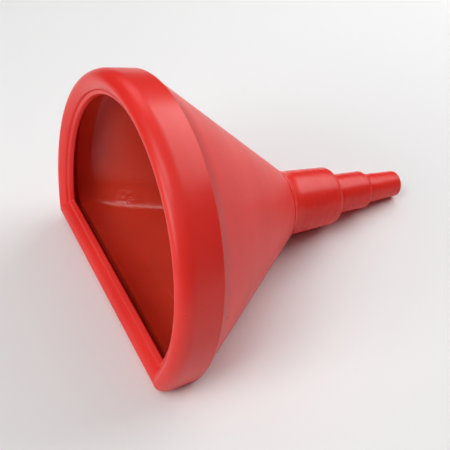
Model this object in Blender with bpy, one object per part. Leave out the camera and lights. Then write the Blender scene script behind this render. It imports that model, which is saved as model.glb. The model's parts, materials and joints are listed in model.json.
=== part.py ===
"""Pouring funnel with one flat side and a stepped spout, lying on its flat side.

Metres, +Z up, resting on z = 0. The pieces are modelled in the funnel's own axis frame: local X
runs from the mouth to the spout tip, and the flat side faces local -Z. The empty "funnel_axis"
then tips that frame until the flat of the rim and the spout tip both touch the ground.
"""
import math

import bmesh
import bpy
from mathutils import Vector

# ---------------------------------------------------------------- driving dimensions
MOUTH_RADIUS = 0.125        # outside of the round part of the rim
FLAT_OFFSET = 0.0625        # from the axis to the outside of the flat side, at the rim
CORNER_RADIUS = 0.005       # where the round wall turns into the flat side
CORNER_RADIUS_MIN = 0.0015  # the same corner on the innermost edges
WALL = 0.0025               # thickness of every moulded wall
GAP = 0.0003                # clearance between pieces that touch

RIM_FRONT = 0.0115          # depth at which the rolled rim reaches its full width
CROWN_INSET = 0.008         # from the outside of the rim to the top of its roll
RIM_WIDTH = 0.0198          # from the outside of the rim to the edge of the opening
RIM_WIDTH_FLAT = 0.0215     # the same, measured on the flat side
LIP_DEPTH = 0.0091          # depth of the roll's free edge behind the top of the roll
BAND_DEPTH = 0.0324         # depth of the band that stands below the roll
BAND_DRAFT = 0.0019         # how much narrower the band is at its lower edge
BAND_CHAMFER = 0.0016       # small chamfer along the band's lower edge
SOCKET_DEPTH = 0.018        # how far the bowl slides up into the rim

NECK_RADIUS = 0.0275        # where the cone meets the spout
NECK_DEPTH = 0.1560         # depth of that corner
COLLAR_LENGTH = 0.0070      # length of cone that belongs to the spout, above the corner
SPIGOT_LENGTH = 0.0120      # the bowl's own neck, inside the spout

STEPS = (                   # length, radius at the start, narrowing along it, shoulder rounding
    (0.0486, NECK_RADIUS, 0.0022, 0.0043),
    (0.0373, 0.0175, 0.0009, 0.0028),
    (0.0371, 0.0133, 0.0017, 0.0018),
)

STRAINER_CLEARANCE = 0.0010  # between the strainer's ring and the flat wall beside it
RING_THICKNESS = 0.0025
GAUZE_THICKNESS = 0.0005
GAUZE_CLEARANCE = 0.0010     # between the gauze cup and the neck around it
GAUZE_DRAFT = 0.0020         # how much narrower the cup is at its closed end
GAUZE_LENGTH = 0.0380
FLANGE_WIDTH = 0.0030        # gauze held under the ring
BAIL_WIRE_RADIUS = 0.0010
BAIL_HOLE_RADIUS = 0.0013
BAIL_BEND_RADIUS = 0.0015
LUG_THICKNESS = 0.0022
LUG_HALF_WIDTH = 0.0026
LUG_SINK = 0.0010            # how far a lug is buried in the ring before they are joined
SHOULDER_SHARE = 0.85        # most of a shoulder's width that its rounding may take

# ---------------------------------------------------------------- mesh resolution
ARC_SEGMENTS = 40
FILLET_SEGMENTS = 2
FLAT_SEGMENTS = 6
ROLL_SEGMENTS = 4
ROUND_SEGMENTS = 32
CONE_STATIONS = 7
SHOULDER_SEGMENTS = 3
MIN_FLAT_HALF_ANGLE = math.radians(8.0)

RED = (0.62, 0.035, 0.030)
DARK = (0.035, 0.036, 0.038)
BRASS = (0.70, 0.52, 0.22)
STEEL = (0.60, 0.60, 0.58)


# ---------------------------------------------------------------- profile of the funnel
def cone_radius(depth):
    """Outside radius of the round part of the cone."""
    slope = (NECK_RADIUS - (MOUTH_RADIUS - BAND_DRAFT)) / (NECK_DEPTH - BAND_DEPTH)
    return NECK_RADIUS + slope * (depth - NECK_DEPTH)


def band_flat(inset):
    """Offset of the flat side where the round side is inset by this much."""
    return FLAT_OFFSET - inset * RIM_WIDTH_FLAT / RIM_WIDTH


def panel_offset(depth):
    """Outside offset of the flat panel from the axis."""
    slope = (NECK_RADIUS - band_flat(BAND_DRAFT)) / (NECK_DEPTH - BAND_DEPTH)
    return NECK_RADIUS + slope * (depth - NECK_DEPTH)


def slanted(thickness, outline):
    """Thickness of a sloping wall, measured square to the axis."""
    slope = (outline(NECK_DEPTH) - outline(BAND_DEPTH)) / (NECK_DEPTH - BAND_DEPTH)
    return thickness * math.hypot(1.0, slope)


def cone_inner(depth):
    return cone_radius(depth) - slanted(WALL, cone_radius)


def panel_inner(depth):
    return panel_offset(depth) - slanted(WALL, panel_offset)


def depth_where(outline, value):
    """Depth at which a straight outline has this value."""
    start, end = outline(BAND_DEPTH), outline(NECK_DEPTH)
    return BAND_DEPTH + (value - start) / (end - start) * (NECK_DEPTH - BAND_DEPTH)


def band_inset(depth):
    """How far the band's outside has drawn in at this depth."""
    return BAND_DRAFT * (depth - RIM_FRONT) / (BAND_DEPTH - RIM_FRONT)


COLLAR_DEPTH = NECK_DEPTH - COLLAR_LENGTH       # seam between the bowl and the spout
SPIGOT_END = COLLAR_DEPTH + SPIGOT_LENGTH
LEDGE_DEPTH = COLLAR_DEPTH - WALL               # the strainer sits on this face
BAND_END = BAND_DEPTH + BAND_CHAMFER
BOWL_TOP = BAND_END - SOCKET_DEPTH


def step_start(index):
    return NECK_DEPTH + sum(step[0] for step in STEPS[:index])


def socket_radius():
    """Bore of the first step of the spout at the end of the bowl's own neck."""
    length, start, narrowing, _ = STEPS[0]
    return start - narrowing * (SPIGOT_END - NECK_DEPTH) / length - WALL


SPIGOT_RADIUS = socket_radius() - GAP
THROAT_RADIUS = SPIGOT_RADIUS - WALL


# ---------------------------------------------------------------- cross-sections and lofts
def d_section(radius, flat, corner):
    """Points (y, z) around a circle cut flat below the axis, with rounded corners."""
    flat = min(flat, radius * math.cos(MIN_FLAT_HALF_ANGLE))
    corner = min(corner, 0.5 * flat)
    turn = math.acos((flat - corner) / (radius - corner))
    middle_y = (radius - corner) * math.sin(turn)
    middle_z = corner - flat
    points = []
    for i in range(ARC_SEGMENTS + 1):
        angle = turn + (2.0 * math.pi - 2.0 * turn) * i / ARC_SEGMENTS
        points.append((radius * math.sin(angle), -radius * math.cos(angle)))
    for i in range(1, FILLET_SEGMENTS + 1):
        angle = turn * (1.0 - i / FILLET_SEGMENTS)
        points.append((-middle_y - corner * math.sin(angle), middle_z - corner * math.cos(angle)))
    for i in range(1, FLAT_SEGMENTS):
        points.append((middle_y * (2.0 * i / FLAT_SEGMENTS - 1.0), -flat))
    for i in range(FILLET_SEGMENTS):
        angle = turn * i / FILLET_SEGMENTS
        points.append((middle_y + corner * math.sin(angle), middle_z - corner * math.cos(angle)))
    return points


def round_section(radius):
    step = 2.0 * math.pi / ROUND_SEGMENTS
    return [(radius * math.sin(step * i), -radius * math.cos(step * i)) for i in range(ROUND_SEGMENTS)]


def loft(name, stations, closed=True):
    """Mesh through (depth, section) stations: a ring-shaped body if closed, else capped ends."""
    bm = bmesh.new()
    rings = [[bm.verts.new((depth, y, z)) for y, z in section] for depth, section in stations]
    count = len(rings[0])
    pairs = list(zip(rings, rings[1:]))
    if closed:
        pairs.append((rings[-1], rings[0]))
    else:
        bm.faces.new(rings[0])
        bm.faces.new(rings[-1])
    for first, second in pairs:
        for i in range(count):
            j = (i + 1) % count
            bm.faces.new((first[i], first[j], second[j], second[i]))
    bmesh.ops.recalc_face_normals(bm, faces=bm.faces)
    mesh = bpy.data.meshes.new(name)
    bm.to_mesh(mesh)
    bm.free()
    mesh.shade_smooth()
    mesh.set_sharp_from_angle(angle=math.radians(30.0))
    return mesh


def material(name, colour, roughness, metallic=0.0):
    made = bpy.data.materials.new(name)
    made.use_nodes = True
    shader = made.node_tree.nodes["Principled BSDF"]
    shader.inputs["Base Color"].default_value = (*colour, 1.0)
    shader.inputs["Roughness"].default_value = roughness
    shader.inputs["Metallic"].default_value = metallic
    return made


def add(name, data, parent, finish=None, location=(0.0, 0.0, 0.0)):
    """Put an object in the scene under its parent."""
    made = bpy.data.objects.new(name, data)
    bpy.context.scene.collection.objects.link(made)
    made.parent = parent
    made.location = location
    if finish:
        data.materials.append(finish)
    return made


def add_cutter(name, mesh, parent, location=(0.0, 0.0, 0.0)):
    """A helper body for a Boolean, left out of the finished part."""
    made = add(name, mesh, parent, location=location)
    made.hide_render = True
    made.display_type = "WIRE"
    return made


def join_or_cut(target, helper, operation):
    modifier = target.modifiers.new(helper.name, "BOOLEAN")
    modifier.operation = operation
    modifier.solver = "EXACT"
    modifier.object = helper


# ---------------------------------------------------------------- the pieces
def rim_profile():
    """(depth, inset) points around the rolled rim and its band, outside first."""
    outside = [(BAND_END, BAND_DRAFT + 0.6 * BAND_CHAMFER), (BAND_DEPTH, BAND_DRAFT)]
    inside = []
    for i in range(ROLL_SEGMENTS + 1):
        angle = 0.5 * math.pi * i / ROLL_SEGMENTS
        outside.append((RIM_FRONT * (1.0 - math.sin(angle)), CROWN_INSET * (1.0 - math.cos(angle))))
        inside.append((RIM_FRONT - (RIM_FRONT - WALL) * math.sin(angle),
                       CROWN_INSET - (CROWN_INSET - WALL) * math.cos(angle)))
    face = RIM_WIDTH - CROWN_INSET
    for i in range(1, ROLL_SEGMENTS + 1):
        angle = 0.5 * math.pi * i / ROLL_SEGMENTS
        outside.append((LIP_DEPTH * (1.0 - math.cos(angle)), CROWN_INSET + face * math.sin(angle)))
        inside.append((LIP_DEPTH - (LIP_DEPTH - WALL) * math.cos(angle),
                       CROWN_INSET + (face - WALL) * math.sin(angle)))
    inside.reverse()
    inside.append((BAND_END, BAND_DRAFT + WALL))
    return outside, inside


def rim_section(inset):
    corner = max(CORNER_RADIUS - inset, CORNER_RADIUS_MIN)
    return d_section(MOUTH_RADIUS - inset, band_flat(inset), corner)


def splash_rim(parent, finish):
    """Rolled rim with the band below it, one open-sided channel that snaps over the bowl."""
    outside, inside = rim_profile()
    stations = [(depth, rim_section(inset)) for depth, inset in outside + inside]
    return add("splash_rim", loft("splash_rim", stations), parent, finish)


def bowl(parent, finish):
    """Cone with a flat side: its top edge slides into the rim, its neck into the spout."""
    cone_top = BAND_END + GAP
    stations = [(SPIGOT_END, d_section(SPIGOT_RADIUS, SPIGOT_RADIUS, CORNER_RADIUS)),
                (COLLAR_DEPTH, d_section(SPIGOT_RADIUS, SPIGOT_RADIUS, CORNER_RADIUS))]
    for i in range(CONE_STATIONS + 1):
        depth = COLLAR_DEPTH + (cone_top - COLLAR_DEPTH) * i / CONE_STATIONS
        stations.append((depth, d_section(cone_radius(depth), panel_offset(depth), CORNER_RADIUS)))

    socket_inset = BAND_DRAFT + WALL + GAP
    top_inset = band_inset(BOWL_TOP) + WALL + GAP
    stations.append((cone_top, rim_section(socket_inset)))
    stations.append((BOWL_TOP, rim_section(top_inset)))
    stations.append((BOWL_TOP, rim_section(top_inset + WALL)))

    inner_radius = MOUTH_RADIUS - socket_inset - WALL
    inner_flat = band_flat(socket_inset + WALL)
    corner = max(CORNER_RADIUS - WALL, CORNER_RADIUS_MIN)
    stations.append((cone_top, d_section(inner_radius, inner_flat, corner)))
    depths = [depth_where(cone_inner, inner_radius), depth_where(panel_inner, inner_flat)]
    last = max(depths)
    depths += [last + (LEDGE_DEPTH - last) * i / CONE_STATIONS for i in range(1, CONE_STATIONS + 1)]
    for depth in sorted(depths):
        radius = min(inner_radius, cone_inner(depth))
        flat = min(inner_flat, panel_inner(depth))
        stations.append((depth, d_section(radius, flat, corner)))
    stations.append((LEDGE_DEPTH, d_section(THROAT_RADIUS, THROAT_RADIUS, corner)))
    stations.append((SPIGOT_END, d_section(THROAT_RADIUS, THROAT_RADIUS, corner)))
    return add("bowl", loft("bowl", stations), parent, finish)


def spout_outline():
    """(depth, radius) points down the outside of the spout, then back up its bore."""
    outside, bore = [], []
    for index, (length, start, narrowing, rounding) in enumerate(STEPS):
        first, last, end = step_start(index), step_start(index) + length, start - narrowing
        is_tip = index == len(STEPS) - 1
        next_radius = end - WALL if is_tip else STEPS[index + 1][1]
        rounding = min(rounding, SHOULDER_SHARE * (end - next_radius))
        outside.append((first, start))
        for i in range(SHOULDER_SEGMENTS + 1):
            angle = 0.5 * math.pi * i / SHOULDER_SEGMENTS
            outside.append((last - rounding * (1.0 - math.sin(angle)),
                            end - rounding * (1.0 - math.cos(angle))))
        if index > 0:
            bore.append((first - WALL, start - WALL))
        bore.append((last if is_tip else last - WALL, end - WALL))
    bore.reverse()
    return outside, bore


def spout(parent, finish):
    """Stepped spout: a collar that carries on the cone, then three narrowing steps."""
    seam = COLLAR_DEPTH + GAP
    outside, bore = spout_outline()
    bore += [(SPIGOT_END, socket_radius()), (seam, socket_radius())]
    stations = [(seam, d_section(cone_radius(seam), panel_offset(seam), CORNER_RADIUS))]
    stations += [(depth, d_section(radius, radius, CORNER_RADIUS)) for depth, radius in outside + bore]
    return add("spout", loft("spout", stations), parent, finish)


def ring_sizes():
    """Depth of the strainer ring's two faces, and its outer and inner radii."""
    seat = LEDGE_DEPTH - GAP
    outer = panel_inner(LEDGE_DEPTH) - STRAINER_CLEARANCE
    inner = THROAT_RADIUS - GAUZE_CLEARANCE + GAP
    return seat, seat - RING_THICKNESS, outer, inner


def bail_sizes():
    """Depth of the bail's hinge line, the bail's radius, and the lug's inner face."""
    _, top, outer, _ = ring_sizes()
    hinge_depth = top - BAIL_HOLE_RADIUS - GAP
    lug_inner = outer - LUG_THICKNESS
    return hinge_depth, lug_inner - BAIL_WIRE_RADIUS - GAP, lug_inner


def strainer_ring(parent, finish):
    """Seat ring of the lift-out strainer, with two lugs for its wire bail."""
    seat, top, outer, inner = ring_sizes()
    hinge_depth, _, lug_inner = bail_sizes()
    recess_radius = inner + FLANGE_WIDTH
    recess_depth = seat - GAUZE_THICKNESS - GAP
    profile = [(seat, outer), (top, outer), (top, inner), (recess_depth, inner),
               (recess_depth, recess_radius), (seat, recess_radius)]
    mesh = loft("strainer_ring", [(depth, round_section(radius)) for depth, radius in profile])
    ring = add("strainer_ring", mesh, parent, finish)

    lug_top = hinge_depth - LUG_HALF_WIDTH
    for side, y_inner in (("left", lug_inner), ("right", -lug_inner - LUG_THICKNESS)):
        corners = [(y, z) for y, z in ((y_inner, -LUG_HALF_WIDTH), (y_inner + LUG_THICKNESS, -LUG_HALF_WIDTH),
                                       (y_inner + LUG_THICKNESS, LUG_HALF_WIDTH), (y_inner, LUG_HALF_WIDTH))]
        lug = loft("lug_" + side, [(lug_top, corners), (top + LUG_SINK, corners)], closed=False)
        join_or_cut(ring, add_cutter("cut_lug_" + side, lug, parent), "UNION")

    bm = bmesh.new()
    bmesh.ops.create_cone(bm, cap_ends=True, segments=16, radius1=BAIL_HOLE_RADIUS, radius2=BAIL_HOLE_RADIUS,
                          depth=4.0 * outer)
    hole = bpy.data.meshes.new("bail_hole")
    bm.to_mesh(hole)
    bm.free()
    cutter = add_cutter("cut_bail_hole", hole, parent, location=(hinge_depth, 0.0, 0.0))
    cutter.rotation_euler = (0.5 * math.pi, 0.0, 0.0)
    join_or_cut(ring, cutter, "DIFFERENCE")
    return ring


def strainer_gauze(parent, finish):
    """Cup of fine gauze, hung by its flange under the ring."""
    seat, _, _, inner = ring_sizes()
    cup = inner - GAP
    bottom = seat + GAUZE_LENGTH
    wall = GAUZE_THICKNESS
    flange = inner + FLANGE_WIDTH - GAP
    profile = [(bottom, cup - GAUZE_DRAFT), (seat, cup), (seat, flange), (seat - wall, flange),
               (seat - wall, cup - wall), (bottom - wall, cup - GAUZE_DRAFT - wall)]
    stations = [(depth, round_section(radius)) for depth, radius in profile]
    return add("strainer_gauze", loft("strainer_gauze", stations, closed=False), parent, finish)


def strainer_bail(parent, finish):
    """Wire handle: two pins through the lugs and a half hoop, folded down on the ring."""
    hinge_depth, radius, lug_inner = bail_sizes()
    pin_end = lug_inner + LUG_THICKNESS + BAIL_WIRE_RADIUS
    bend = BAIL_BEND_RADIUS
    half = [(pin_end, 0.0), (radius + bend, 0.0)]
    for i in range(1, 4):
        angle = 0.5 * math.pi * i / 3
        half.append((radius + bend * (1.0 - math.sin(angle)), -bend * (1.0 - math.cos(angle))))
    start = math.asin(bend / radius) + math.radians(8.0)
    arc_steps = 16
    hoop = []
    for i in range(arc_steps + 1):
        angle = start + (math.pi - 2.0 * start) * i / arc_steps
        hoop.append((radius * math.cos(angle), -radius * math.sin(angle)))
    points = half + hoop + [(-y, z) for y, z in reversed(half)]

    curve = bpy.data.curves.new("strainer_bail", "CURVE")
    curve.dimensions = "3D"
    spline = curve.splines.new("POLY")
    spline.points.add(len(points) - 1)
    for point, (y, z) in zip(spline.points, points):
        point.co = (0.0, y, z, 1.0)
    curve.bevel_depth = BAIL_WIRE_RADIUS
    curve.bevel_resolution = 2
    curve.use_fill_caps = True
    return add("strainer_bail", curve, parent, finish, location=(hinge_depth, 0.0, 0.0))


# ---------------------------------------------------------------- resting pose
def resting_tilt():
    """Angle at which the flat of the rim and the spout both touch the ground."""
    rim = [(depth, band_flat(inset)) for depth, inset in rim_profile()[0]]
    below = [max((offset - radius) / (depth - rim_depth) for rim_depth, offset in rim)
             for depth, radius in spout_outline()[0]]
    return math.atan(min(below))


def set_down(axis):
    """Move the tipped funnel so that it stands on z = 0, centred on the origin."""
    bpy.context.view_layer.update()
    corners = []
    for piece in bpy.context.scene.objects:
        if piece.type == "MESH" and not piece.hide_render:
            corners += [piece.matrix_world @ vertex.co for vertex in piece.data.vertices]
    low = Vector([min(corner[i] for corner in corners) for i in range(3)])
    high = Vector([max(corner[i] for corner in corners) for i in range(3)])
    axis.location = (-0.5 * (low.x + high.x), 0.0, -low.z)
    bpy.context.view_layer.update()


def main():
    for old in list(bpy.data.objects):
        bpy.data.objects.remove(old, do_unlink=True)

    axis = add("funnel_axis", None, None)
    axis.rotation_euler = (0.0, resting_tilt(), 0.0)
    strainer = add("strainer_slide", None, axis)

    red = material("red_plastic", RED, 0.30)
    splash_rim(axis, red)
    bowl(axis, material("red_plastic_bowl", RED, 0.32))
    spout(axis, material("red_plastic_spout", RED, 0.30))
    strainer_ring(strainer, material("dark_plastic", DARK, 0.45))
    strainer_gauze(strainer, material("brass_gauze", BRASS, 0.35, 1.0))
    strainer_bail(strainer, material("steel_wire", STEEL, 0.30, 1.0))
    set_down(axis)


main()
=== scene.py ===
# %% [markdown]
# # A pouring funnel with one flat side
# This lesson dresses the measured model of a red pouring funnel. The measured model gives every
# size and every joint. Here each plain solid gets the shape and the finish of the moulded thing:
# a rolled rim, a thin cone, a stepped spout, and a lift-out strainer of woven wire in the throat.
# The funnel lies on its flat side, so its axis is tipped. Each piece is drawn in the funnel's own
# directions first, and is then laid down by one matrix.

# %% Load the measured model
import json
import math

import bmesh
import bpy
import numpy as np
from mathutils import Matrix, Vector


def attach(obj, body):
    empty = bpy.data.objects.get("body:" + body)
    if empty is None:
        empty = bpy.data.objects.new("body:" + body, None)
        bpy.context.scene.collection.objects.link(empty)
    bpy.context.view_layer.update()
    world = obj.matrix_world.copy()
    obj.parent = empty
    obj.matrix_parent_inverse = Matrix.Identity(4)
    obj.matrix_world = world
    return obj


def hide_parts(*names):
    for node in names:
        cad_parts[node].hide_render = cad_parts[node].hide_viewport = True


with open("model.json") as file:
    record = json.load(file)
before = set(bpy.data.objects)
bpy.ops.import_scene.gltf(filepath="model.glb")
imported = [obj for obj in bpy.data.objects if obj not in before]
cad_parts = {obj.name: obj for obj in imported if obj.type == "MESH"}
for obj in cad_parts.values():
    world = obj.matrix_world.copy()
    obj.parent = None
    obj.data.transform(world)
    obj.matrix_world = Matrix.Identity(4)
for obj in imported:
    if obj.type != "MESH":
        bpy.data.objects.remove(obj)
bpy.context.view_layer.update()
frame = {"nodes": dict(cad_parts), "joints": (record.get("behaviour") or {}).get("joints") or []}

# %% [markdown]
# ## The funnel's own directions
# The strainer lifts out along the funnel's axis, so its slide joint tells which way the axis
# points. The hinge of the strainer's handle is a point on the axis. The frontmost point of the rim
# gives the plane of the mouth. With those three facts a funnel can be drawn as if it were standing
# square: depth runs from the mouth to the tip, side runs across, and rise runs away from the flat
# side. All sizes below are in millimetres, and the matrix turns them into metres.

# %% Find the axis and the mouth
MM = 0.001
joints = {joint["name"]: joint for joint in frame["joints"]}
depth_way = -Vector(joints["strainer_lift"]["axis"]).normalized()
side_way = Vector((0.0, 1.0, 0.0))
rise_way = depth_way.cross(side_way)
axes = Matrix((depth_way, side_way, rise_way))
hinge_point = Vector(joints["bail_hinge"]["pos_m"])


def measured(node_name, origin):
    """A node's points as depth, side and rise in millimetres."""
    points = np.array([vertex.co for vertex in frame["nodes"][node_name].data.vertices])
    return (points - np.array(origin)) @ np.array(axes).T / MM


mouth_point = hinge_point + depth_way * (measured("splash_rim", hinge_point)[:, 0].min() * MM)
lay_down = Matrix.Translation(mouth_point) @ axes.transposed().to_4x4()
print("the axis dips", round(math.degrees(math.asin(-depth_way.z)), 2), "degrees")

# %% Read the main sizes from the measured solids
MEASURED = ("splash_rim", "bowl", "spout", "strainer_ring", "strainer_gauze")
rim_points, bowl_points, spout_points, ring_points, gauze_points = (
    measured(name, mouth_point) for name in MEASURED)


def radii(points):
    return np.hypot(points[:, 1], points[:, 2])


MOUTH_RADIUS = float(radii(rim_points).max())
FLAT_OFFSET = float(-rim_points[:, 2].min())
BAND_END = float(rim_points[:, 0].max())
BOWL_TOP, SPIGOT_END = float(bowl_points[:, 0].min()), float(bowl_points[:, 0].max())
THROAT_RADIUS = float(radii(bowl_points).min())
SEAM_DEPTH, TIP_DEPTH = float(spout_points[:, 0].min()), float(spout_points[:, 0].max())
print("mouth radius", round(MOUTH_RADIUS, 2), "flat side at", round(FLAT_OFFSET, 2),
      "band ends at", round(BAND_END, 2), "seam at", round(SEAM_DEPTH, 2),
      "tip at", round(TIP_DEPTH, 2))

# %% [markdown]
# ## Drawing with D-shaped rings
# Every cross-section of the mouth and the cone is a D: an arc, a straight side, and two small
# rounded corners where they meet. A circle could be cut by a plane with a Boolean, but then the
# corners would need bevels. Instead each ring is drawn as points, always the same number in the
# same order, and rings are joined to their neighbours. The corner points then line up along the
# cone and make one clean crease. Where the cone turns into the round neck, the straight side
# shrinks to almost nothing, so the same ring also draws a circle.

# %% One D-shaped ring
ARC_POINTS, CORNER_POINTS, STRAIGHT_POINTS = 168, 6, 20
LEAST_FLAT = math.radians(4.0)
FULL_TURN = 2.0 * math.pi


def d_ring(depth, radius, flat, corner):
    """Points around a circle of this radius, cut straight at this distance below the axis."""
    flat = min(flat, radius * math.cos(LEAST_FLAT))
    turn = math.acos((flat - corner) / (radius - corner))
    middle_side, middle_rise = (radius - corner) * math.sin(turn), corner - flat
    arc = np.linspace(turn, FULL_TURN - turn, ARC_POINTS + 1)
    near = np.linspace(turn, 0.0, CORNER_POINTS + 1)[1:]
    straight = np.linspace(-1.0, 1.0, STRAIGHT_POINTS + 1)[1:-1] * middle_side
    side = np.concatenate([radius * np.sin(arc), -middle_side - corner * np.sin(near), straight,
                           middle_side + corner * np.sin(near[::-1])])
    rise = np.concatenate([-radius * np.cos(arc), middle_rise - corner * np.cos(near),
                           np.full(len(straight), -flat), middle_rise - corner * np.cos(near[::-1])])
    return np.column_stack([np.full(len(side), depth), side, rise])


def round_ring(depth, radius, count):
    turn = np.linspace(0.0, FULL_TURN, count, endpoint=False)
    return np.column_stack([np.full(count, depth), radius * np.sin(turn), -radius * np.cos(turn)])


print("points in one ring:", len(d_ring(0.0, MOUTH_RADIUS, FLAT_OFFSET, 5.0)))

# %% Join rings into a mesh


def join_loops(bm, first, second):
    """A strip of faces between two loops of the same number of corners."""
    count = len(first)
    for i in range(count):
        j = (i + 1) % count
        bm.faces.new((first[i], first[j], second[j], second[i]))


def ring_mesh(bm, rings, closed=True):
    """Join rings to their neighbours, and the last to the first if closed; else cap both ends."""
    made = [[bm.verts.new(point * MM) for point in ring] for ring in rings]
    pairs = list(zip(made, made[1:]))
    if closed:
        pairs.append((made[-1], made[0]))
    else:
        bm.faces.new(made[0])
        bm.faces.new(made[-1])
    for first, second in pairs:
        join_loops(bm, first, second)


# %% [markdown]
# ## From a drawn mesh to a piece
# A drawn mesh is shaded smooth, except across edges that turn sharply. It also keeps two sets of
# numbers on its points. One is where each point was drawn, so that a finish doesn't slide when the
# piece is laid down or moved by a joint. The other is how far each point lies along the profile,
# which lets a finish draw faint lines around the funnel, as the mould leaves them.

# %% Shade a mesh and keep its places
SHARP_TURN = math.radians(50.0)


def smoothed(bm, name, finish):
    """Close a bmesh into a smooth-shaded mesh with this finish."""
    bmesh.ops.recalc_face_normals(bm, faces=bm.faces)
    mesh = bpy.data.meshes.new(name)
    bm.to_mesh(mesh)
    bm.free()
    mesh.shade_smooth()
    mesh.set_sharp_from_angle(angle=SHARP_TURN)
    mesh.materials.append(finish)
    return mesh


def keep_places(mesh, mould_lines=None):
    """Store where each point was drawn, and how far it lies along the profile that was swept."""
    drawn = np.array([vertex.co for vertex in mesh.vertices], np.float32)
    if mould_lines is None:
        mould_lines = drawn
    for name, values in (("as_drawn", drawn), ("mould_lines", np.asarray(mould_lines, np.float32))):
        mesh.attributes.new(name, "FLOAT_VECTOR", "POINT").data.foreach_set("vector", values.ravel())


# %% Lay a piece down on its body
LINE_WANDER = 0.012


def place_piece(name, mesh, body, slot, *replaced):
    """Lay a drawn mesh down with the funnel and let it ride on its body."""
    mesh.transform(lay_down)
    piece = bpy.data.objects.new(name, mesh)
    bpy.context.scene.collection.objects.link(piece)
    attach(piece, body)
    if replaced:
        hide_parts(*replaced)
    print(name, len(mesh.vertices), "points")
    return piece


def swept_piece(name, rings, finish, body, slot, *replaced):
    """A ring-shaped piece, with faint lines that follow the sweep as they do on a turned mould."""
    bm = bmesh.new()
    ring_mesh(bm, rings)
    mesh = smoothed(bm, name, finish)
    steps = [np.linalg.norm(second - first, axis=1).max() for first, second in zip(rings, rings[1:])]
    travel = np.concatenate([[0.0], np.cumsum(steps)])
    lines = [np.column_stack([np.full(len(ring), reached), LINE_WANDER * ring[:, 1:]])
             for ring, reached in zip(rings, travel)]
    keep_places(mesh, np.concatenate(lines) * MM)
    return place_piece(name, mesh, body, slot, *replaced)


# %% Curves for profiles


def ellipse(centre, reach, start, end, steps):
    """Points of an ellipse, from one angle in degrees to another."""
    turn = np.radians(np.linspace(start, end, steps + 1))
    return [(centre[0] + reach[0] * math.cos(t), centre[1] + reach[1] * math.sin(t)) for t in turn]


def line(start, end, steps):
    return [(start[0] + (end[0] - start[0]) * i / steps, start[1] + (end[1] - start[1]) * i / steps)
            for i in range(steps + 1)]


# %% [markdown]
# ## Red polyethylene
# The funnel is moulded in red polyethylene. Such a skin is satin: it shows wide soft highlights, a
# faint orange peel from the mould, and fine lines around it. The outside is one red with a little
# unevenness, and most of the look is in how roughness and small bumps break up the light. A painted
# texture would fix the light in place, so noise drives the colour, the roughness and the bump
# instead, each by a little. Two marks are painted light all the same: a paler red paints the
# highlight at the bend below the band, and a darker, browner red paints the shade inside the bowl.

# %% Short ways to add a node


def node(tree, kind, **settings):
    """Add a node; a setting that starts with in_ is the value of an input."""
    made = tree.nodes.new(kind)
    for key, value in settings.items():
        if key.startswith("in_"):
            made.inputs[key[3:].replace("_", " ")].default_value = value
        else:
            setattr(made, key, value)
    return made


def noise(tree, where, scale, detail=3.0, stretch=(1.0, 1.0, 1.0)):
    """Noise in the funnel's own directions; a stretch below 1 draws it out that way."""
    mapping = node(tree, "ShaderNodeMapping")
    mapping.inputs["Scale"].default_value = stretch
    tree.links.new(where, mapping.inputs["Vector"])
    made = node(tree, "ShaderNodeTexNoise", in_Scale=scale, in_Detail=detail)
    tree.links.new(mapping.outputs["Vector"], made.inputs["Vector"])
    return made.outputs["Fac"]


def spread(tree, value, low, high, out_low, out_high):
    """Stretch a value from one range to another."""
    made = node(tree, "ShaderNodeMapRange", in_From_Min=low, in_From_Max=high,
                in_To_Min=out_low, in_To_Max=out_high)
    tree.links.new(value, made.inputs["Value"])
    return made.outputs["Result"]


def times(tree, first, second):
    made = node(tree, "ShaderNodeMath", operation="MULTIPLY")
    tree.links.new(first, made.inputs[0])
    tree.links.new(second, made.inputs[1])
    return made.outputs["Value"]


# %% Bump and colour ramps


def bump(tree, height, strength, distance, under=None):
    made = node(tree, "ShaderNodeBump", in_Strength=strength, in_Distance=distance)
    tree.links.new(height, made.inputs["Height"])
    if under:
        tree.links.new(under, made.inputs["Normal"])
    return made.outputs["Normal"]


def ramp_of(tree, value, stops):
    """A colour ramp with these (place, colour) stops."""
    made = node(tree, "ShaderNodeValToRGB")
    elements = made.color_ramp.elements
    while len(elements) < len(stops):
        elements.new(0.5)
    for element, (place, colour) in zip(elements, stops):
        element.position, element.color = place, (*colour, 1.0)
    tree.links.new(value, made.inputs["Fac"])
    return made.outputs["Color"]


def start_finish(name):
    """A new material with its shader, and the two sets of places that every piece keeps."""
    made = bpy.data.materials.new(name)
    made.use_nodes = True
    tree = made.node_tree
    where, lines = (node(tree, "ShaderNodeAttribute", attribute_name=kept).outputs["Vector"]
                    for kept in ("as_drawn", "mould_lines"))
    return made, tree, tree.nodes["Principled BSDF"], where, lines


# %% [markdown]
# ## A painted highlight at the bend
# The bend just below the band, outside and inside, catches the light as a pale pinkish highlight,
# and here that highlight is painted into the colour as a paler red. Each bend is given as stops
# along the depth, with how much of the pale red to mix in at each, and the lowest rise at which it
# shows. A painted stripe would have two hard edges; stops let it start crisply at the band and fade
# out down the cone.

# %% Painted highlight: a paler red at a bend
# The pale red and its stops paint a highlight into the colour at each bend.
RED_PAINTED_HIGHLIGHT, HIGHLIGHT_REACH, HIGHLIGHT_FADE = (0.66, 0.16, 0.16), 100.0, 25.0
OUTSIDE_BEND_HIGHLIGHT = (-70.0, ((34.0, 0.65), (38.0, 0.50), (46.0, 0.0)))
INSIDE_BEND_HIGHLIGHT = (-5.0, ((28.5, 0.0), (30.5, 0.75), (35.0, 0.45), (44.0, 0.0)))


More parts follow.
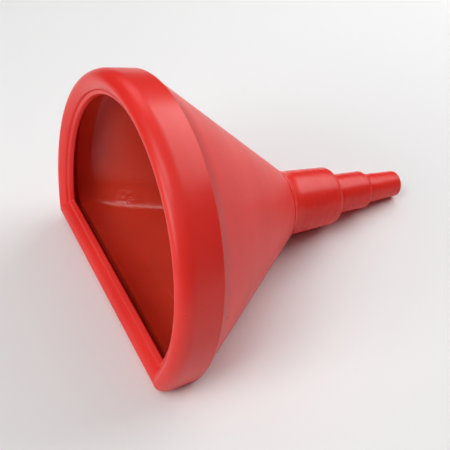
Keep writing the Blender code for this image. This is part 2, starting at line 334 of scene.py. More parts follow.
def painted_highlight_mix(tree, where, colour, bend_highlight):
    """Mix the paler red, a painted highlight, into a colour at a bend."""
    lowest, bend = bend_highlight
    parts = node(tree, "ShaderNodeSeparateXYZ")
    tree.links.new(where, parts.inputs["Vector"])
    reach = spread(tree, parts.outputs["X"], 0.0, HIGHLIGHT_REACH * MM, 0.0, 1.0)
    share = ramp_of(tree, reach, [(at / HIGHLIGHT_REACH, (amount, amount, amount)) for at, amount in bend])
    above = spread(tree, parts.outputs["Z"], (lowest - HIGHLIGHT_FADE) * MM, lowest * MM, 0.0, 1.0)
    mix = node(tree, "ShaderNodeMixRGB")
    mix.inputs["Color2"].default_value = (*RED_PAINTED_HIGHLIGHT, 1.0)
    tree.links.new(times(tree, share, above), mix.inputs["Fac"])
    tree.links.new(colour, mix.inputs["Color1"])
    return mix.outputs["Color"]


# %% Flow marks beside the crease inside
FLOW_PLACE, FLOW_REACH, FLOW_CORE = (59.0, 89.0, -44.0), 13.0, 0.4
FLOW_SCALE, FLOW_STRETCH, FLOW_STRENGTH, FLOW_DEPTH = 170.0, (1.0, 1.0, 1.8), 0.5, 0.002


def flow_marks(tree, where, under):
    """A few wavy marks beside the crease, where the plastic folded as it filled the mould."""
    away = node(tree, "ShaderNodeVectorMath", operation="DISTANCE")
    tree.links.new(where, away.inputs[0])
    away.inputs[1].default_value = Vector(FLOW_PLACE) * MM
    near = spread(tree, away.outputs["Value"], FLOW_CORE * FLOW_REACH * MM, FLOW_REACH * MM, 1.0, 0.0)
    waves = times(tree, noise(tree, where, FLOW_SCALE, 1.0, FLOW_STRETCH), near)
    return bump(tree, waves, FLOW_STRENGTH, FLOW_DEPTH, under)


# %% The red finishes
RED_LIGHT, RED_DEEP = (0.90, 0.036, 0.027), (0.84, 0.030, 0.023)
# The inside's colours are darker and browner than the outside's: painted shade inside the bowl.
SHADED_INSIDE_LIGHT, SHADED_INSIDE_DEEP = (0.70, 0.054, 0.026), (0.60, 0.044, 0.021)
CLOUD_SCALE, WEAR_SCALE, PEEL_SCALE, LINE_SCALE = 22.0, 90.0, 200.0, 700.0
PEEL_STRENGTH, PEEL_DEPTH, LINE_DEPTH = 0.03, 0.001, 0.0003
WEAR_SPREAD = 0.05


def red_finish(name, light, deep, dullest, line_strength, gloss, bend_highlight=None, marked=False):
    """Satin red: cloudy colour, a painted bend highlight, uneven dullness, orange peel, lines around the
    funnel.
    """
    made, tree, shader, where, lines = start_finish(name)
    colour = ramp_of(tree, noise(tree, where, CLOUD_SCALE, 1.0), [(0.30, deep), (0.72, light)])
    # Paint the bend's highlight into the colour as a paler red.
    colour = painted_highlight_mix(tree, where, colour, bend_highlight) if bend_highlight else colour
    tree.links.new(colour, shader.inputs["Base Color"])
    worn = spread(tree, noise(tree, lines, WEAR_SCALE, 0.0), 0.2, 0.8, dullest - WEAR_SPREAD, dullest)
    tree.links.new(worn, shader.inputs["Roughness"])
    peel = bump(tree, noise(tree, where, PEEL_SCALE, 2.0), PEEL_STRENGTH, PEEL_DEPTH)
    skin = bump(tree, noise(tree, lines, LINE_SCALE, 1.0), line_strength, LINE_DEPTH, peel)
    if marked:
        skin = flow_marks(tree, where, skin)
    tree.links.new(skin, shader.inputs["Normal"])
    shader.inputs["Specular IOR Level"].default_value = gloss
    return made


# The bowl's outside and its inside get a painted highlight at the bend below the band.
red_rim = red_finish("red_rim", RED_LIGHT, RED_DEEP, 0.34, 0.14, 0.36)
red_bowl = red_finish("red_bowl", RED_LIGHT, RED_DEEP, 0.36, 0.07, 0.22, bend_highlight=OUTSIDE_BEND_HIGHLIGHT)
red_spout = red_finish("red_spout", RED_LIGHT, RED_DEEP, 0.30, 0.06, 0.26)
# The inside's darker, browner colours are painted shade, and it also carries the painted bend highlight.
red_inside_painted_shade = red_finish("red_inside_painted_shade", SHADED_INSIDE_LIGHT, SHADED_INSIDE_DEEP, 0.28, 0.06, 0.42, INSIDE_BEND_HIGHLIGHT, marked=True)
print("red finishes:", red_rim.name, red_bowl.name, red_spout.name, red_inside_painted_shade.name)

# %% [markdown]
# ## The splash rim
# The rim is a rolled edge with a band below it. Its outline is drawn once, as depth and inset from
# the outside of the mouth, and then swept around the D. The outside goes up the band, over a fat
# roll, across a face that dips near the opening, and over a thin lip. The inside follows at one
# wall thickness, so the roll is hollow behind the lip. A bevel on a plain solid could round the
# edges, but it couldn't give the roll, the groove and the lip their own curves.

# %% Sizes of the rim
WALL = 2.5
CORNER, LEAST_CORNER = 5.0, 1.5
ROLL_DEPTH, CROWN_INSET = 11.5, 8.0
RIM_WIDTH, RIM_WIDTH_FLAT, LIP_DEPTH = 19.8, 21.5, 9.1
BAND_DRAFT, BAND_HOLLOW, EDGE_ROUNDING = 1.9, 0.06, 0.9
GROOVE, GROOVE_INSET, GROOVE_SPREAD = 0.9, 16.6, 0.8
LIP_BEAD, LIP_INSET, LIP_SPREAD = 0.5, 18.4, 0.9
FACE_FULLNESS, FACE_SLOPE, FACE_STEPS = 1.4, math.radians(35.0), 48


def flat_at(inset):
    """How far the straight side lies from the axis, where the round side is inset by this much."""
    return FLAT_OFFSET - inset * RIM_WIDTH_FLAT / RIM_WIDTH


def rim_ring(depth, inset):
    return d_ring(depth, MOUTH_RADIUS - inset, flat_at(inset), max(CORNER - inset, LEAST_CORNER))


print("the opening's radius", round(MOUTH_RADIUS - RIM_WIDTH, 2), "and its flat side at",
      round(flat_at(RIM_WIDTH), 2))

# %% The face of the rim, from the crown to the opening


def hump(value, middle, width):
    return math.exp(-((value - middle) / width) ** 2)


def rim_face():
    """A full curve down to the lip, with a groove pressed in and a low bead beside the opening."""
    points, power = [], 2.0 / FACE_FULLNESS
    for t in np.radians(np.linspace(0.0, 90.0, FACE_STEPS + 1))[1:]:
        depth = LIP_DEPTH * (1.0 - math.cos(t) ** power)
        inset = CROWN_INSET + (RIM_WIDTH - CROWN_INSET) * math.sin(t) ** power
        raised = (LIP_BEAD * hump(inset, LIP_INSET, LIP_SPREAD)
                  - GROOVE * hump(inset, GROOVE_INSET, GROOVE_SPREAD))
        points.append((depth - raised * math.cos(FACE_SLOPE), inset + raised * math.sin(FACE_SLOPE)))
    return points


print("points across the face:", len(rim_face()))

# %% The rim's whole profile


def rim_outside():
    edge = EDGE_ROUNDING
    outside = [(BAND_END, BAND_DRAFT + 2.0 * edge)]
    outside += ellipse((BAND_END - edge, BAND_DRAFT + edge), (edge, edge), 0.0, -90.0, 5)
    outside += line((BAND_END - 2.0 * edge, BAND_DRAFT - BAND_HOLLOW), (ROLL_DEPTH, 0.0), 8)
    outside += ellipse((ROLL_DEPTH, CROWN_INSET), (ROLL_DEPTH, CROWN_INSET), 270.0, 180.0, 14)[1:]
    return outside + rim_face()


def rim_inside():
    half = 0.5 * WALL
    inside = ellipse((LIP_DEPTH, RIM_WIDTH - half), (half, half), 90.0, -90.0, 8)[1:]
    inside += ellipse((LIP_DEPTH, CROWN_INSET), (LIP_DEPTH - WALL, RIM_WIDTH - CROWN_INSET - WALL),
                      90.0, 180.0, 12)[1:]
    inside += ellipse((ROLL_DEPTH, CROWN_INSET), (ROLL_DEPTH - WALL, CROWN_INSET - WALL),
                      180.0, 270.0, 8)[1:]
    inside += line((ROLL_DEPTH, WALL), (BAND_END, BAND_DRAFT + WALL), 6)[1:]
    return inside


rim_rings = [rim_ring(depth, inset) for depth, inset in rim_outside() + rim_inside()]
rim_shell = swept_piece("rim_shell", rim_rings, red_rim, "funnel", "red_plastic", "splash_rim")

# %% [markdown]
# ## The bowl
# The bowl is a cone with one flat panel. Its top edge stands inside the rim and its short neck
# stands inside the spout. Both the round side and the flat side run straight to the same neck, so
# each is one straight outline, and a D is drawn at each depth from the two. Just below the band the
# outline bends, and the wall inside turns with its own softer bend. All of it is one sweep that goes
# up the outside and down the inside, so the wall has a real thickness.

# %% The outlines of the cone
NECK_RADIUS, NECK_DEPTH = 27.5, 156.0
BAND_FOOT = 32.4
BEND_START, BEND_END = 33.0, 46.0
BEND_STEP, BEND_STEP_FLAT = 2.3, 2.8


def on_line(depth, start, end):
    return end + (start - end) * (NECK_DEPTH - depth) / (NECK_DEPTH - BAND_FOOT)


def cone_radius(depth):
    return on_line(depth, MOUTH_RADIUS - BAND_DRAFT, NECK_RADIUS)


def panel_offset(depth):
    return on_line(depth, flat_at(BAND_DRAFT), NECK_RADIUS)


def bent(depth, outline, step):
    """The straight outline, eased inwards towards the band so that it meets it more gently."""
    share = max(0.0, (BEND_END - depth) / (BEND_END - BEND_START))
    return outline(depth) - step * share ** 2


def slanted(wall, outline):
    """A wall's thickness measured straight out from the axis, not square to the cone."""
    slope = (outline(NECK_DEPTH) - outline(BAND_FOOT)) / (NECK_DEPTH - BAND_FOOT)
    return wall * math.hypot(1.0, slope)


def lower_of(a, b, softening):
    """The smaller of two values, with the turn from one to the other eased."""
    return 0.5 * (a + b - math.hypot(a - b, softening))


print("the cone's radius below the band", round(bent(BAND_FOOT, cone_radius, BEND_STEP), 2))

# %% The outside of the bowl
SEAM_GAP, EDGE_BREAK = 0.3, 0.35
OUTSIDE_RINGS, INSIDE_RINGS = 72, 90


def bowl_outside():
    """From the end of the neck, up the outside of the cone."""
    spigot, seam = THROAT_RADIUS + WALL, SEAM_DEPTH - SEAM_GAP
    rings = [d_ring(depth, spigot, spigot, CORNER) for depth in (SPIGOT_END, seam)]
    for index, depth in enumerate(np.linspace(seam, BAND_FOOT, OUTSIDE_RINGS)):
        broken = 0.0 if index else EDGE_BREAK
        rings.append(d_ring(depth, bent(depth, cone_radius, BEND_STEP) - broken,
                            bent(depth, panel_offset, BEND_STEP_FLAT) - broken, CORNER))
    return rings


# %% The inside of the bowl
TOP_FLARE, LEDGE = 1.4, SEAM_DEPTH - SEAM_GAP - WALL
INNER_WALL, PANEL_WALL, CREASE_ROUNDING, SOFTENING = 3.4, 4.2, 8.0, 2.2


def bowl_inside():
    """Over the top edge, down the inside, and across the ledge that carries the strainer."""
    inset = BAND_DRAFT + WALL + SEAM_GAP
    rings = [rim_ring(BOWL_TOP, inset - TOP_FLARE), rim_ring(BOWL_TOP, inset - TOP_FLARE + WALL)]
    radius, flat = MOUTH_RADIUS - inset - WALL, flat_at(inset + WALL)
    for depth in np.linspace(BOWL_TOP + 1.0, LEDGE, INSIDE_RINGS):
        round_wall = bent(depth, cone_radius, BEND_STEP) - slanted(INNER_WALL, cone_radius)
        flat_wall = bent(depth, panel_offset, BEND_STEP_FLAT) - slanted(PANEL_WALL, panel_offset)
        rings.append(d_ring(depth, lower_of(radius, round_wall, SOFTENING),
                            lower_of(flat, flat_wall, SOFTENING), CREASE_ROUNDING))
    return rings + [d_ring(depth, THROAT_RADIUS, THROAT_RADIUS, WALL) for depth in (LEDGE, SPIGOT_END)]


outside_rings, inside_rings = bowl_outside(), bowl_inside()
bowl_shell = swept_piece("bowl_shell", outside_rings + inside_rings, red_bowl,
                         "funnel", "red_plastic", "bowl")

# %% The inside of the bowl in a darker, browner red, which is painted shade
bowl_shell.data.materials.append(red_inside_painted_shade)
first_inside = len(outside_rings) + 1
for face in bowl_shell.data.polygons:
    if face.index // len(inside_rings[0]) >= first_inside:
        face.material_index = 1
print("faces inside the bowl:", sum(face.material_index for face in bowl_shell.data.polygons))

# %% [markdown]
# ## The spout
# The spout has three steps, each a little narrower, so that the funnel fits several filler necks.
# A collar at its top carries on the line of the cone, and a low bead marks its root. Each step is a
# slightly tapered tube that ends in a rounded shoulder, with a small fillet at the foot of the next
# one. The bore inside is made of straight steps, and the whole is again one sweep.

# %% The steps of the spout: length, radius at the start and at the end, rounding of the shoulder
STEPS = ((48.6, 27.5, 25.3, 4.3), (37.3, 17.5, 16.6, 2.8), (37.1, 13.3, 11.6, 1.8))
FOOT, ROOT_BEAD, SHOULDER_SHARE = 0.7, 1.0, 0.85


def spout_profile():
    """The outside from the root to the tip, and the bore from the tip back up."""
    outside, bore, start_depth = [], [], NECK_DEPTH + ROOT_BEAD
    for index, (length, start, end, rounding) in enumerate(STEPS):
        finish = NECK_DEPTH + sum(step[0] for step in STEPS[:index + 1])
        tip = index == len(STEPS) - 1
        following = end - WALL if tip else STEPS[index + 1][1]
        rounding = min(rounding, SHOULDER_SHARE * (end - following))
        if index:
            outside += ellipse((start_depth + FOOT, start + FOOT), (FOOT, FOOT), 180.0, 270.0, 5)
        outside += line((start_depth + FOOT, start), (finish - rounding, end), 8)[1:]
        outside += ellipse((finish - rounding, end - rounding), (rounding, rounding), 90.0, 0.0, 8)[1:]
        if index:
            bore.append((start_depth - WALL, start - WALL))
        bore.append((finish if tip else finish - WALL, end - WALL))
        start_depth = finish
    return outside, bore[::-1]


outside, bore = spout_profile()
print("points along the outside:", len(outside), "and along the bore:", len(bore))

# %% Sweep the collar, the bead, the steps and the socket
BEAD_CURVE = ((-0.6, 0.32), (-0.2, 0.4), (0.2, 0.36), (0.6, 0.16))
socket = THROAT_RADIUS + WALL + SEAM_GAP
rings = [d_ring(SEAM_DEPTH, cone_radius(SEAM_DEPTH) - EDGE_BREAK,
                panel_offset(SEAM_DEPTH) - EDGE_BREAK, CORNER)]
rings += [d_ring(depth, cone_radius(depth), panel_offset(depth), CORNER)
          for depth in np.linspace(SEAM_DEPTH + EDGE_BREAK, NECK_DEPTH - ROOT_BEAD, 6)]
rings += [d_ring(NECK_DEPTH + ROOT_BEAD * along, NECK_RADIUS + out, NECK_RADIUS + out, CORNER)
          for along, out in BEAD_CURVE]
rings += [d_ring(depth, radius, radius, CORNER) for depth, radius in outside + bore]
rings += [d_ring(depth, socket, socket, CORNER) for depth in (SPIGOT_END, SEAM_DEPTH)]
spout_shell = swept_piece("spout_shell", rings, red_spout, "funnel", "red_plastic", "spout")

# %% [markdown]
# ## Gate marks
# Plastic enters the mould through small gates, and each one leaves a nib where it was trimmed. Two
# nibs show on the side of the mouth. Each is a low dome that stands on the surface: rings of points
# around the direction in which the surface faces there, the lowest one just under the skin.

# %% Two trimmed nibs
NIBS = (((4.5, 123.2), -103.6, (-0.74, 0.67)), ((41.3, 115.8), -95.9, (0.45, 0.89)))
NIB_RADIUS, NIB_HEIGHT, NIB_SINK, NIB_POINTS = 0.9, 0.45, 0.3, 14


def nib_rings(depth, radius, degrees, lean, out):
    turn = math.radians(degrees)
    spoke = Vector((0.0, math.sin(turn), -math.cos(turn)))
    around = Vector((0.0, math.cos(turn), math.sin(turn)))
    up = (Vector((lean, 0.0, 0.0)) + spoke * out).normalized()
    place = Vector((depth, 0.0, 0.0)) + spoke * radius
    rings = []
    for rise in (-NIB_SINK, 0.0, 0.6 * NIB_HEIGHT, 0.9 * NIB_HEIGHT, NIB_HEIGHT):
        width = NIB_RADIUS * math.sqrt(1.0 - (max(rise, 0.0) / NIB_HEIGHT * 0.95) ** 2)
        rings.append([place + up * rise + (around * math.cos(t) + up.cross(around) * math.sin(t)) * width
                      for t in np.linspace(0.0, FULL_TURN, NIB_POINTS, endpoint=False)])
    return rings


bm = bmesh.new()
for (depth, radius), degrees, (lean, out) in NIBS:
    ring_mesh(bm, nib_rings(depth, radius, degrees, lean, out), closed=False)
mesh = smoothed(bm, "gate_nibs", red_rim)
keep_places(mesh)
gate_nibs = place_piece("gate_nibs", mesh, "funnel", "red_plastic")

# %% [markdown]
# ## Finishes for the strainer
# The strainer is three materials: a dark moulded ring, brass wire, and a bright steel handle. Metal
# needs hardly any colour change, so its look comes from uneven roughness: brass tarnishes in dull
# patches, and drawn steel wire keeps fine marks. The dark plastic has a fine spark grain, which is
# a bump that is much smaller than the orange peel on the red parts.

# %% Build the strainer's finishes
POLISH_SPREAD, GRAIN_DEPTH = 0.18, 0.0002


def plain_finish(name, deep, light, patches, dullest, grain, grain_strength, metallic=0.0):
    """Patchy colour and dullness, with a fine grain."""
    made, tree, shader, where, lines = start_finish(name)
    cloud = noise(tree, where, patches, 3.0)
    tree.links.new(ramp_of(tree, cloud, [(0.35, deep), (0.65, light)]), shader.inputs["Base Color"])
    worn = spread(tree, cloud, 0.35, 0.65, dullest, dullest - POLISH_SPREAD)
    tree.links.new(worn, shader.inputs["Roughness"])
    grained = bump(tree, noise(tree, lines, grain, 2.0), grain_strength, GRAIN_DEPTH)
    tree.links.new(grained, shader.inputs["Normal"])
    shader.inputs["Metallic"].default_value = metallic
    return made


dark_moulding = plain_finish("dark_moulding", (0.022, 0.023, 0.025), (0.040, 0.041, 0.044),
                             120.0, 0.55, 1800.0, 0.25)
brass_wire = plain_finish("brass_wire", (0.46, 0.30, 0.11), (0.74, 0.53, 0.22),
                          160.0, 0.50, 900.0, 0.10, 1.0)
steel_wire = plain_finish("steel_wire", (0.50, 0.50, 0.49), (0.66, 0.66, 0.65),
                          300.0, 0.42, 2500.0, 0.12, 1.0)
print("strainer finishes:", dark_moulding.name, brass_wire.name, steel_wire.name)

# %% [markdown]
# ## The strainer's ring
# A moulded ring that drops onto the ledge in the throat. Its outer edge has small grip notches, its
# edges are broken, and two eyelets stand up from it for the handle. The ring is a sweep like the
# rim. An eyelet could be cut with a Boolean, but it is simpler to draw: rays from the middle of the
# hole meet the round hole and the outline of the tab, and the points between them make the faces.

# %% Sizes of the strainer
RING_SEAT, RING_INNER = float(ring_points[:, 0].max()), float(radii(ring_points).min())
SEAT_BAND = 0.1
RING_OUTER = float(radii(ring_points[ring_points[:, 0] > RING_SEAT - SEAT_BAND]).max())
EYELET_TOP = float(ring_points[:, 0].min())
CUP_END = float(gauze_points[:, 0].max())
HINGE_DEPTH = float((hinge_point - mouth_point).dot(depth_way)) / MM
RING_HEIGHT, FLANGE_WIDTH, SHEET = 2.5, 3.0, 0.5
EYELET_THICKNESS, HOLE_RADIUS, WIRE_RADIUS = 2.2, 1.3, 1.0
EYELET_RADIUS = HINGE_DEPTH - EYELET_TOP
print("ring", round(RING_OUTER, 2), round(RING_INNER, 2), "seat", round(RING_SEAT, 2),
      "hinge", round(HINGE_DEPTH, 2), "eyelet radius", round(EYELET_RADIUS, 2),
      "cup ends at", round(CUP_END, 2))

# %% The notched ring
RING_POINTS, NOTCHES, NOTCH_DEPTH, BREAK = 288, 48, 0.28, 0.35
RECESS_GAP = 0.3


def notched_ring(depth, radius, notch):
    turn = np.linspace(0.0, FULL_TURN, RING_POINTS, endpoint=False)
    reach = radius - notch * np.clip(np.cos(NOTCHES * turn), 0.0, 1.0)
    return np.column_stack([np.full(RING_POINTS, depth), reach * np.sin(turn), -reach * np.cos(turn)])


ring_top, recess = RING_SEAT - RING_HEIGHT, RING_SEAT - SHEET - RECESS_GAP
flange_edge = RING_INNER + FLANGE_WIDTH
ring_profile = [
    (RING_SEAT, flange_edge, 0.0), (RING_SEAT, RING_OUTER - BREAK, 0.0),
    (RING_SEAT - BREAK, RING_OUTER, NOTCH_DEPTH), (ring_top + BREAK, RING_OUTER, NOTCH_DEPTH),
    (ring_top, RING_OUTER - BREAK, 0.0), (ring_top, RING_INNER + BREAK, 0.0),
    (ring_top + BREAK, RING_INNER, 0.0), (recess, RING_INNER, 0.0), (recess, flange_edge, 0.0)]
print("the ring's top is at", round(ring_top, 2), "and its recess at", round(recess, 2))

# %% An eyelet
EYELET_POINTS, EYELET_ROOT, EYELET_INSET = 40, 0.6, 0.05
LEAST_SHARE = 1e-6


def tab_reach(deep, high):
    """How far the tab's outline is from the hole's middle: round on top, straight at the foot."""
    if deep <= 0.0:
        return EYELET_RADIUS
    foot = ring_top + EYELET_ROOT - HINGE_DEPTH
    return min(EYELET_RADIUS / max(abs(high), LEAST_SHARE), foot / max(deep, LEAST_SHARE))


def eyelet(bm, inner_side, outer_side):
    """A tab with a rounded top and a hole, between two positions across the funnel."""
    loops = []
    for outline in (lambda deep, high: HOLE_RADIUS, tab_reach):
        for side in (inner_side, outer_side):
            loop = []
            for turn in np.linspace(0.0, FULL_TURN, EYELET_POINTS, endpoint=False):
                deep, high = math.cos(turn), math.sin(turn)
                reach = outline(deep, high)
                loop.append(bm.verts.new(Vector((HINGE_DEPTH + reach * deep, side, reach * high)) * MM))
            loops.append(loop)
    hole_in, hole_out, tab_in, tab_out = loops
    for first, second in ((hole_in, hole_out), (hole_out, tab_out), (tab_out, tab_in), (tab_in, hole_in)):
        join_loops(bm, first, second)


# %% Make the ring with its eyelets
RING_SHARP_TURN = math.radians(30.0)
bm = bmesh.new()
ring_mesh(bm, [notched_ring(*row) for row in ring_profile])
eyelet_inner = RING_OUTER - EYELET_THICKNESS
eyelet(bm, eyelet_inner, RING_OUTER - EYELET_INSET)
eyelet(bm, -eyelet_inner, -RING_OUTER + EYELET_INSET)
mesh = smoothed(bm, "strainer_seat_ring", dark_moulding)
mesh.set_sharp_from_angle(angle=RING_SHARP_TURN)
keep_places(mesh)
seat_ring = place_piece("strainer_seat_ring", mesh, "strainer", "dark_plastic", "strainer_ring")

# %% [markdown]
# ## Woven gauze
# The cup is real gauze, so it is woven here wire by wire. Upright wires run down the cup, and hoops
# run round it. Each wire steps over one neighbour and under the next: that is a small wave, and the
# wave of each wire is shifted by half a turn from the one beside it. A picture of a weave would be
# lighter, but the holes would be painted and the light would not come through.

# %% A helper that sweeps a round wire along points
WIRE_START = ((-1.0, 0.3), (-0.7, 0.75), (0.0, 1.0))
WIRE_FINISH = ((0.0, 1.0), (0.7, 0.75), (1.0, 0.3))


def wire(bm, points, radius, sides=5, closed=False):
    """A tube through these points; open wires get rounded ends."""
    points = [Vector(point) for point in points]
    count = len(points)
    normal, loops = None, []
    for i, point in enumerate(points):
        ahead = points[(i + 1) % count] if closed or i < count - 1 else point
        behind = points[i - 1] if closed or i > 0 else point
        way = (ahead - behind).normalized()
        if normal is None:
            normal = way.orthogonal().normalized()
        normal = (normal - way * normal.dot(way)).normalized()
        other = way.cross(normal)
        sizes = ((0.0, 1.0),)
        if not closed and i in (0, count - 1):
            sizes = WIRE_FINISH if i else WIRE_START
        for push, share in sizes:
            loop = []
            for turn in np.linspace(0.0, FULL_TURN, sides, endpoint=False):
                spoke = (normal * math.cos(turn) + other * math.sin(turn)) * radius * share
                loop.append(bm.verts.new((point + way * (push * radius) + spoke) * MM))
            loops.append(loop)
    for first, second in zip(loops, loops[1:]):
        join_loops(bm, first, second)
    if closed:
        join_loops(bm, loops[-1], loops[0])
    else:
        bm.faces.new(loops[0])
        bm.faces.new(loops[-1])


# %% The surface that the cup's wires follow
UPRIGHTS, HOOPS, GAUZE_WIRE, WAVE = 88, 26, 0.15, 0.10
CUP_GAP, CUP_DRAFT, HOOP_MARGIN = 0.3, 2.0, 0.8
CUP_RADIUS = RING_INNER - CUP_GAP


def cup_radius(depth):
    return CUP_RADIUS - SHEET * 0.5 - CUP_DRAFT * (depth - RING_SEAT) / (CUP_END - RING_SEAT)


def cup_point(depth, turn, lift):
    reach = cup_radius(depth) + lift
    return (depth, reach * math.sin(turn), -reach * math.cos(turn))


floor_depth = CUP_END - SHEET * 0.5
floor_radius = cup_radius(floor_depth)
hoop_depths = np.linspace(RING_SEAT + HOOP_MARGIN, floor_depth - HOOP_MARGIN, HOOPS)
pitch = hoop_depths[1] - hoop_depths[0]
print("the mesh is", round(pitch, 2), "mm from wire to wire")

# %% Weave the side of the cup


def wave(step, neighbour):
    """Over one crossing and under the next, and half a turn later on the neighbouring wire."""
    return WAVE * math.cos(math.pi * (0.5 * step + neighbour))


bm = bmesh.new()
for upright in range(UPRIGHTS):
    turn = FULL_TURN * upright / UPRIGHTS
    wire(bm, [cup_point(hoop_depths[0] + 0.5 * pitch * step, turn, wave(step, upright))
              for step in range(-1, 2 * HOOPS)], GAUZE_WIRE)
for hoop, depth in enumerate(hoop_depths):
    wire(bm, [cup_point(depth, math.pi * step / UPRIGHTS, -wave(step, hoop))
              for step in range(2 * UPRIGHTS)], GAUZE_WIRE, closed=True)
print("points in the side:", len(bm.verts))

# %% Weave the floor of the cup
LEAST_POINTS, POINTS_PER_PITCH = 3, 4.0
strands = int(2.0 * floor_radius / pitch)
places = (np.arange(strands) - 0.5 * (strands - 1)) * pitch
for index, place in enumerate(places):
    half = math.sqrt(max(floor_radius ** 2 - place ** 2, 0.0))
    count = max(LEAST_POINTS, int(POINTS_PER_PITCH * half / pitch))
    for along_side in (True, False):
        lift = WAVE if along_side else -WAVE
        points = []
        for travel in np.linspace(-half, half, count):
            over = lift * math.cos(math.pi * ((travel - places[0]) / pitch + index))
            points.append((floor_depth + over, *((travel, place) if along_side else (place, travel))))
        wire(bm, points, GAUZE_WIRE)
mesh = smoothed(bm, "strainer_woven_cup", brass_wire)
keep_places(mesh)
woven_cup = place_piece("strainer_woven_cup", mesh, "strainer", "brass_gauze", "strainer_gauze")

# %% [markdown]
# ## The sheet brass that holds the gauze
# Gauze on its own would fray, so its edges are bound. A flange of thin sheet clamps it under the
# ring, a rolled hem binds the floor, and a lapped seam runs down one side. All three are small
# rings or strips, swept in the same way as the big ones.

# %% A flange, a hem and a seam
FLANGE_GAP, SKIRT, SKIRT_LAP = 0.3, 1.2, 0.05
HEM_RISE, HEM_REACH = 0.6, (0.55, 0.3)
SEAM_TURN, SEAM_LIFT, SEAM_TOP, SEAM_FOOT, SEAM_STEPS = 0.07, 0.2, 0.4, 0.5, 24
SHEET_POINTS = 144
bm = bmesh.new()
flange = [(RING_SEAT, CUP_RADIUS), (RING_SEAT, flange_edge - FLANGE_GAP),
          (RING_SEAT - SHEET, flange_edge - FLANGE_GAP), (RING_SEAT - SHEET, CUP_RADIUS - SHEET),
          (RING_SEAT + SKIRT, CUP_RADIUS - SHEET - SKIRT_LAP), (RING_SEAT + SKIRT, CUP_RADIUS - SKIRT_LAP)]
ring_mesh(bm, [round_ring(depth, radius, SHEET_POINTS) for depth, radius in flange])
hem = ellipse((CUP_END - HEM_RISE, floor_radius - SKIRT_LAP), HEM_REACH, 0.0, 330.0, 11)
ring_mesh(bm, [round_ring(depth, radius, SHEET_POINTS) for depth, radius in hem])
seam = [[(depth, (cup_radius(depth) + lift) * math.sin(turn), (cup_radius(depth) + lift) * math.cos(turn))
         for turn, lift in ((-SEAM_TURN, SEAM_LIFT), (SEAM_TURN, SEAM_LIFT),
                            (SEAM_TURN, -SEAM_LIFT), (-SEAM_TURN, -SEAM_LIFT))]
        for depth in np.linspace(RING_SEAT + SEAM_TOP, CUP_END - SEAM_FOOT, SEAM_STEPS)]
ring_mesh(bm, [np.array(section) for section in seam], closed=False)
mesh = smoothed(bm, "strainer_cup_frame", brass_wire)
keep_places(mesh)
cup_frame = place_piece("strainer_cup_frame", mesh, "strainer", "brass_gauze")

# %% [markdown]
# ## The wire handle
# One length of steel wire, bent to a half hoop. Its two straight ends pass through the eyelets and
# are rounded off. It is drawn as a path: pin, small bend, hoop, small bend, pin. A thin ring cut in
# half would be quicker, but it would have no pins to turn on.

# %% Bend the handle
HOOP_GAP, BEND_RADIUS, PIN_ROUNDING = 0.3, 1.5, 0.9
pin_end = eyelet_inner + EYELET_THICKNESS + WIRE_RADIUS
hoop_radius = eyelet_inner - WIRE_RADIUS - HOOP_GAP
half = [(pin_end - PIN_ROUNDING, 0.0), (eyelet_inner, 0.0), (hoop_radius + BEND_RADIUS, 0.0)]
half += [(hoop_radius + BEND_RADIUS * (1.0 - math.sin(t)), -BEND_RADIUS * (1.0 - math.cos(t)))
         for t in np.radians(np.linspace(15.0, 90.0, 6))]
first_turn = math.asin(BEND_RADIUS / hoop_radius) + math.radians(4.0)
hoop = [(hoop_radius * math.cos(t), -hoop_radius * math.sin(t))
        for t in np.linspace(first_turn, math.pi - first_turn, 64)]
path = half + hoop + [(-side, rise) for side, rise in reversed(half)]
print("the handle's hoop has a radius of", round(hoop_radius, 2))

# %% Sweep the handle
bm = bmesh.new()
wire(bm, [(HINGE_DEPTH, side, rise) for side, rise in path], WIRE_RADIUS, sides=16)
mesh = smoothed(bm, "strainer_wire_handle", steel_wire)
keep_places(mesh)
wire_handle = place_piece("strainer_wire_handle", mesh, "bail", "steel_wire", "strainer_bail")

# %% [markdown]
# ## The room
# The funnel stands on a plain pale floor. Satin plastic shows what is around it, so the light comes
# from large soft panels and not from small lamps: their reflections are the wide highlights on the
# rim and the spout. One big ceiling light fills the shadows. The panels can't be seen themselves.

# %% Floor
FLOOR_HALF, PAPER_WHITE, PAPER_ROUGHNESS = 1.9, 0.90, 0.8
bm = bmesh.new()
bmesh.ops.create_grid(bm, x_segments=1, y_segments=1, size=FLOOR_HALF)
floor_mesh = bpy.data.meshes.new("floor")
bm.to_mesh(floor_mesh)
bm.free()
floor = bpy.data.objects.new("floor", floor_mesh)
bpy.context.scene.collection.objects.link(floor)
paper = bpy.data.materials.new("paper")
paper.use_nodes = True
paper_shader = paper.node_tree.nodes["Principled BSDF"]
paper_shader.inputs["Base Color"].default_value = (PAPER_WHITE, PAPER_WHITE, PAPER_WHITE, 1.0)
paper_shader.inputs["Roughness"].default_value = PAPER_ROUGHNESS
floor_mesh.materials.append(paper)
print("the floor is", 2.0 * FLOOR_HALF, "m across")

# %% Light panels
PANEL_DISTANCE, PANEL_TARGET = 1.5, (0.0, 0.0, 0.05)
CEILING_HEIGHT, CEILING_SIZE, CEILING_POWER = 3.5, 7.0, 58.0


def soft_light(name, place, target, width, height, power):
    data = bpy.data.lights.new(name, "AREA")
    data.shape, data.size, data.size_y, data.energy = "RECTANGLE", width, height, power
    light = bpy.data.objects.new(name, data)
    bpy.context.scene.collection.objects.link(light)
    light.location = place
    light.rotation_euler = (Vector(target) - Vector(place)).to_track_quat("-Z", "Y").to_euler()
    light.visible_camera = False
    print("light", name, power, "W")


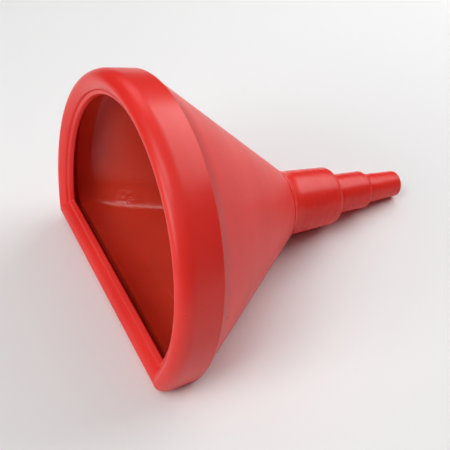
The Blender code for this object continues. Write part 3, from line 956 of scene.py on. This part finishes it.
def panel(name, azimuth, elevation, width, height, power):
    """A panel that faces the funnel; azimuth 0 is behind the tip, and 180 faces the mouth."""
    turn, lift = math.radians(azimuth), math.radians(elevation)
    way = Vector((math.cos(lift) * math.cos(turn), math.cos(lift) * math.sin(turn), math.sin(lift)))
    soft_light(name, way * PANEL_DISTANCE, PANEL_TARGET, width, height, power)


soft_light("ceiling", (0.0, 0.0, CEILING_HEIGHT), (0.0, 0.0, 0.0), CEILING_SIZE, CEILING_SIZE, CEILING_POWER)
panel("behind_tip", 14.0, 42.0, 1.5, 0.6, 13.5)
panel("facing_mouth", 188.0, 29.0, 0.8, 0.7, 8.0)
panel("above_mouth", 193.0, 62.0, 0.8, 0.6, 5.0)
panel("far_side", 80.0, 45.0, 0.6, 0.8, 2.0)

# %% Backdrop: pale where it is seen, dark to everything else, so that only the panels give light
BACKDROP_WHITE = 0.92
world = bpy.data.worlds.new("studio")
world.use_nodes = True
backdrop = world.node_tree.nodes["Background"]
backdrop.inputs["Color"].default_value = (BACKDROP_WHITE, BACKDROP_WHITE, BACKDROP_WHITE, 1.0)
seen = world.node_tree.nodes.new("ShaderNodeLightPath").outputs["Is Camera Ray"]
world.node_tree.links.new(seen, backdrop.inputs["Strength"])
bpy.context.scene.world = world
bpy.context.scene.view_settings.view_transform = "Standard"
print("world:", world.name)

# %% [markdown]
# ## The camera
# The camera looks down into the mouth from the front, with a slightly long lens. Its place and its
# direction are given in metres in the same frame as the model.

# %% Camera
CAMERA_PLACE = (-0.24752, -0.42283, 0.48886)
CAMERA_LOOK = (0.32677, 0.64301, -0.69265)
CAMERA_LENS, CAMERA_SENSOR = 63.47, 36.0
camera_data = bpy.data.cameras.new("camera")
camera_data.lens, camera_data.sensor_width = CAMERA_LENS, CAMERA_SENSOR
camera = bpy.data.objects.new("camera", camera_data)
bpy.context.scene.collection.objects.link(camera)
camera.location = CAMERA_PLACE
camera.rotation_euler = Vector(CAMERA_LOOK).to_track_quat("-Z", "Y").to_euler()
bpy.context.scene.camera = camera
print("camera lens", CAMERA_LENS, "mm")
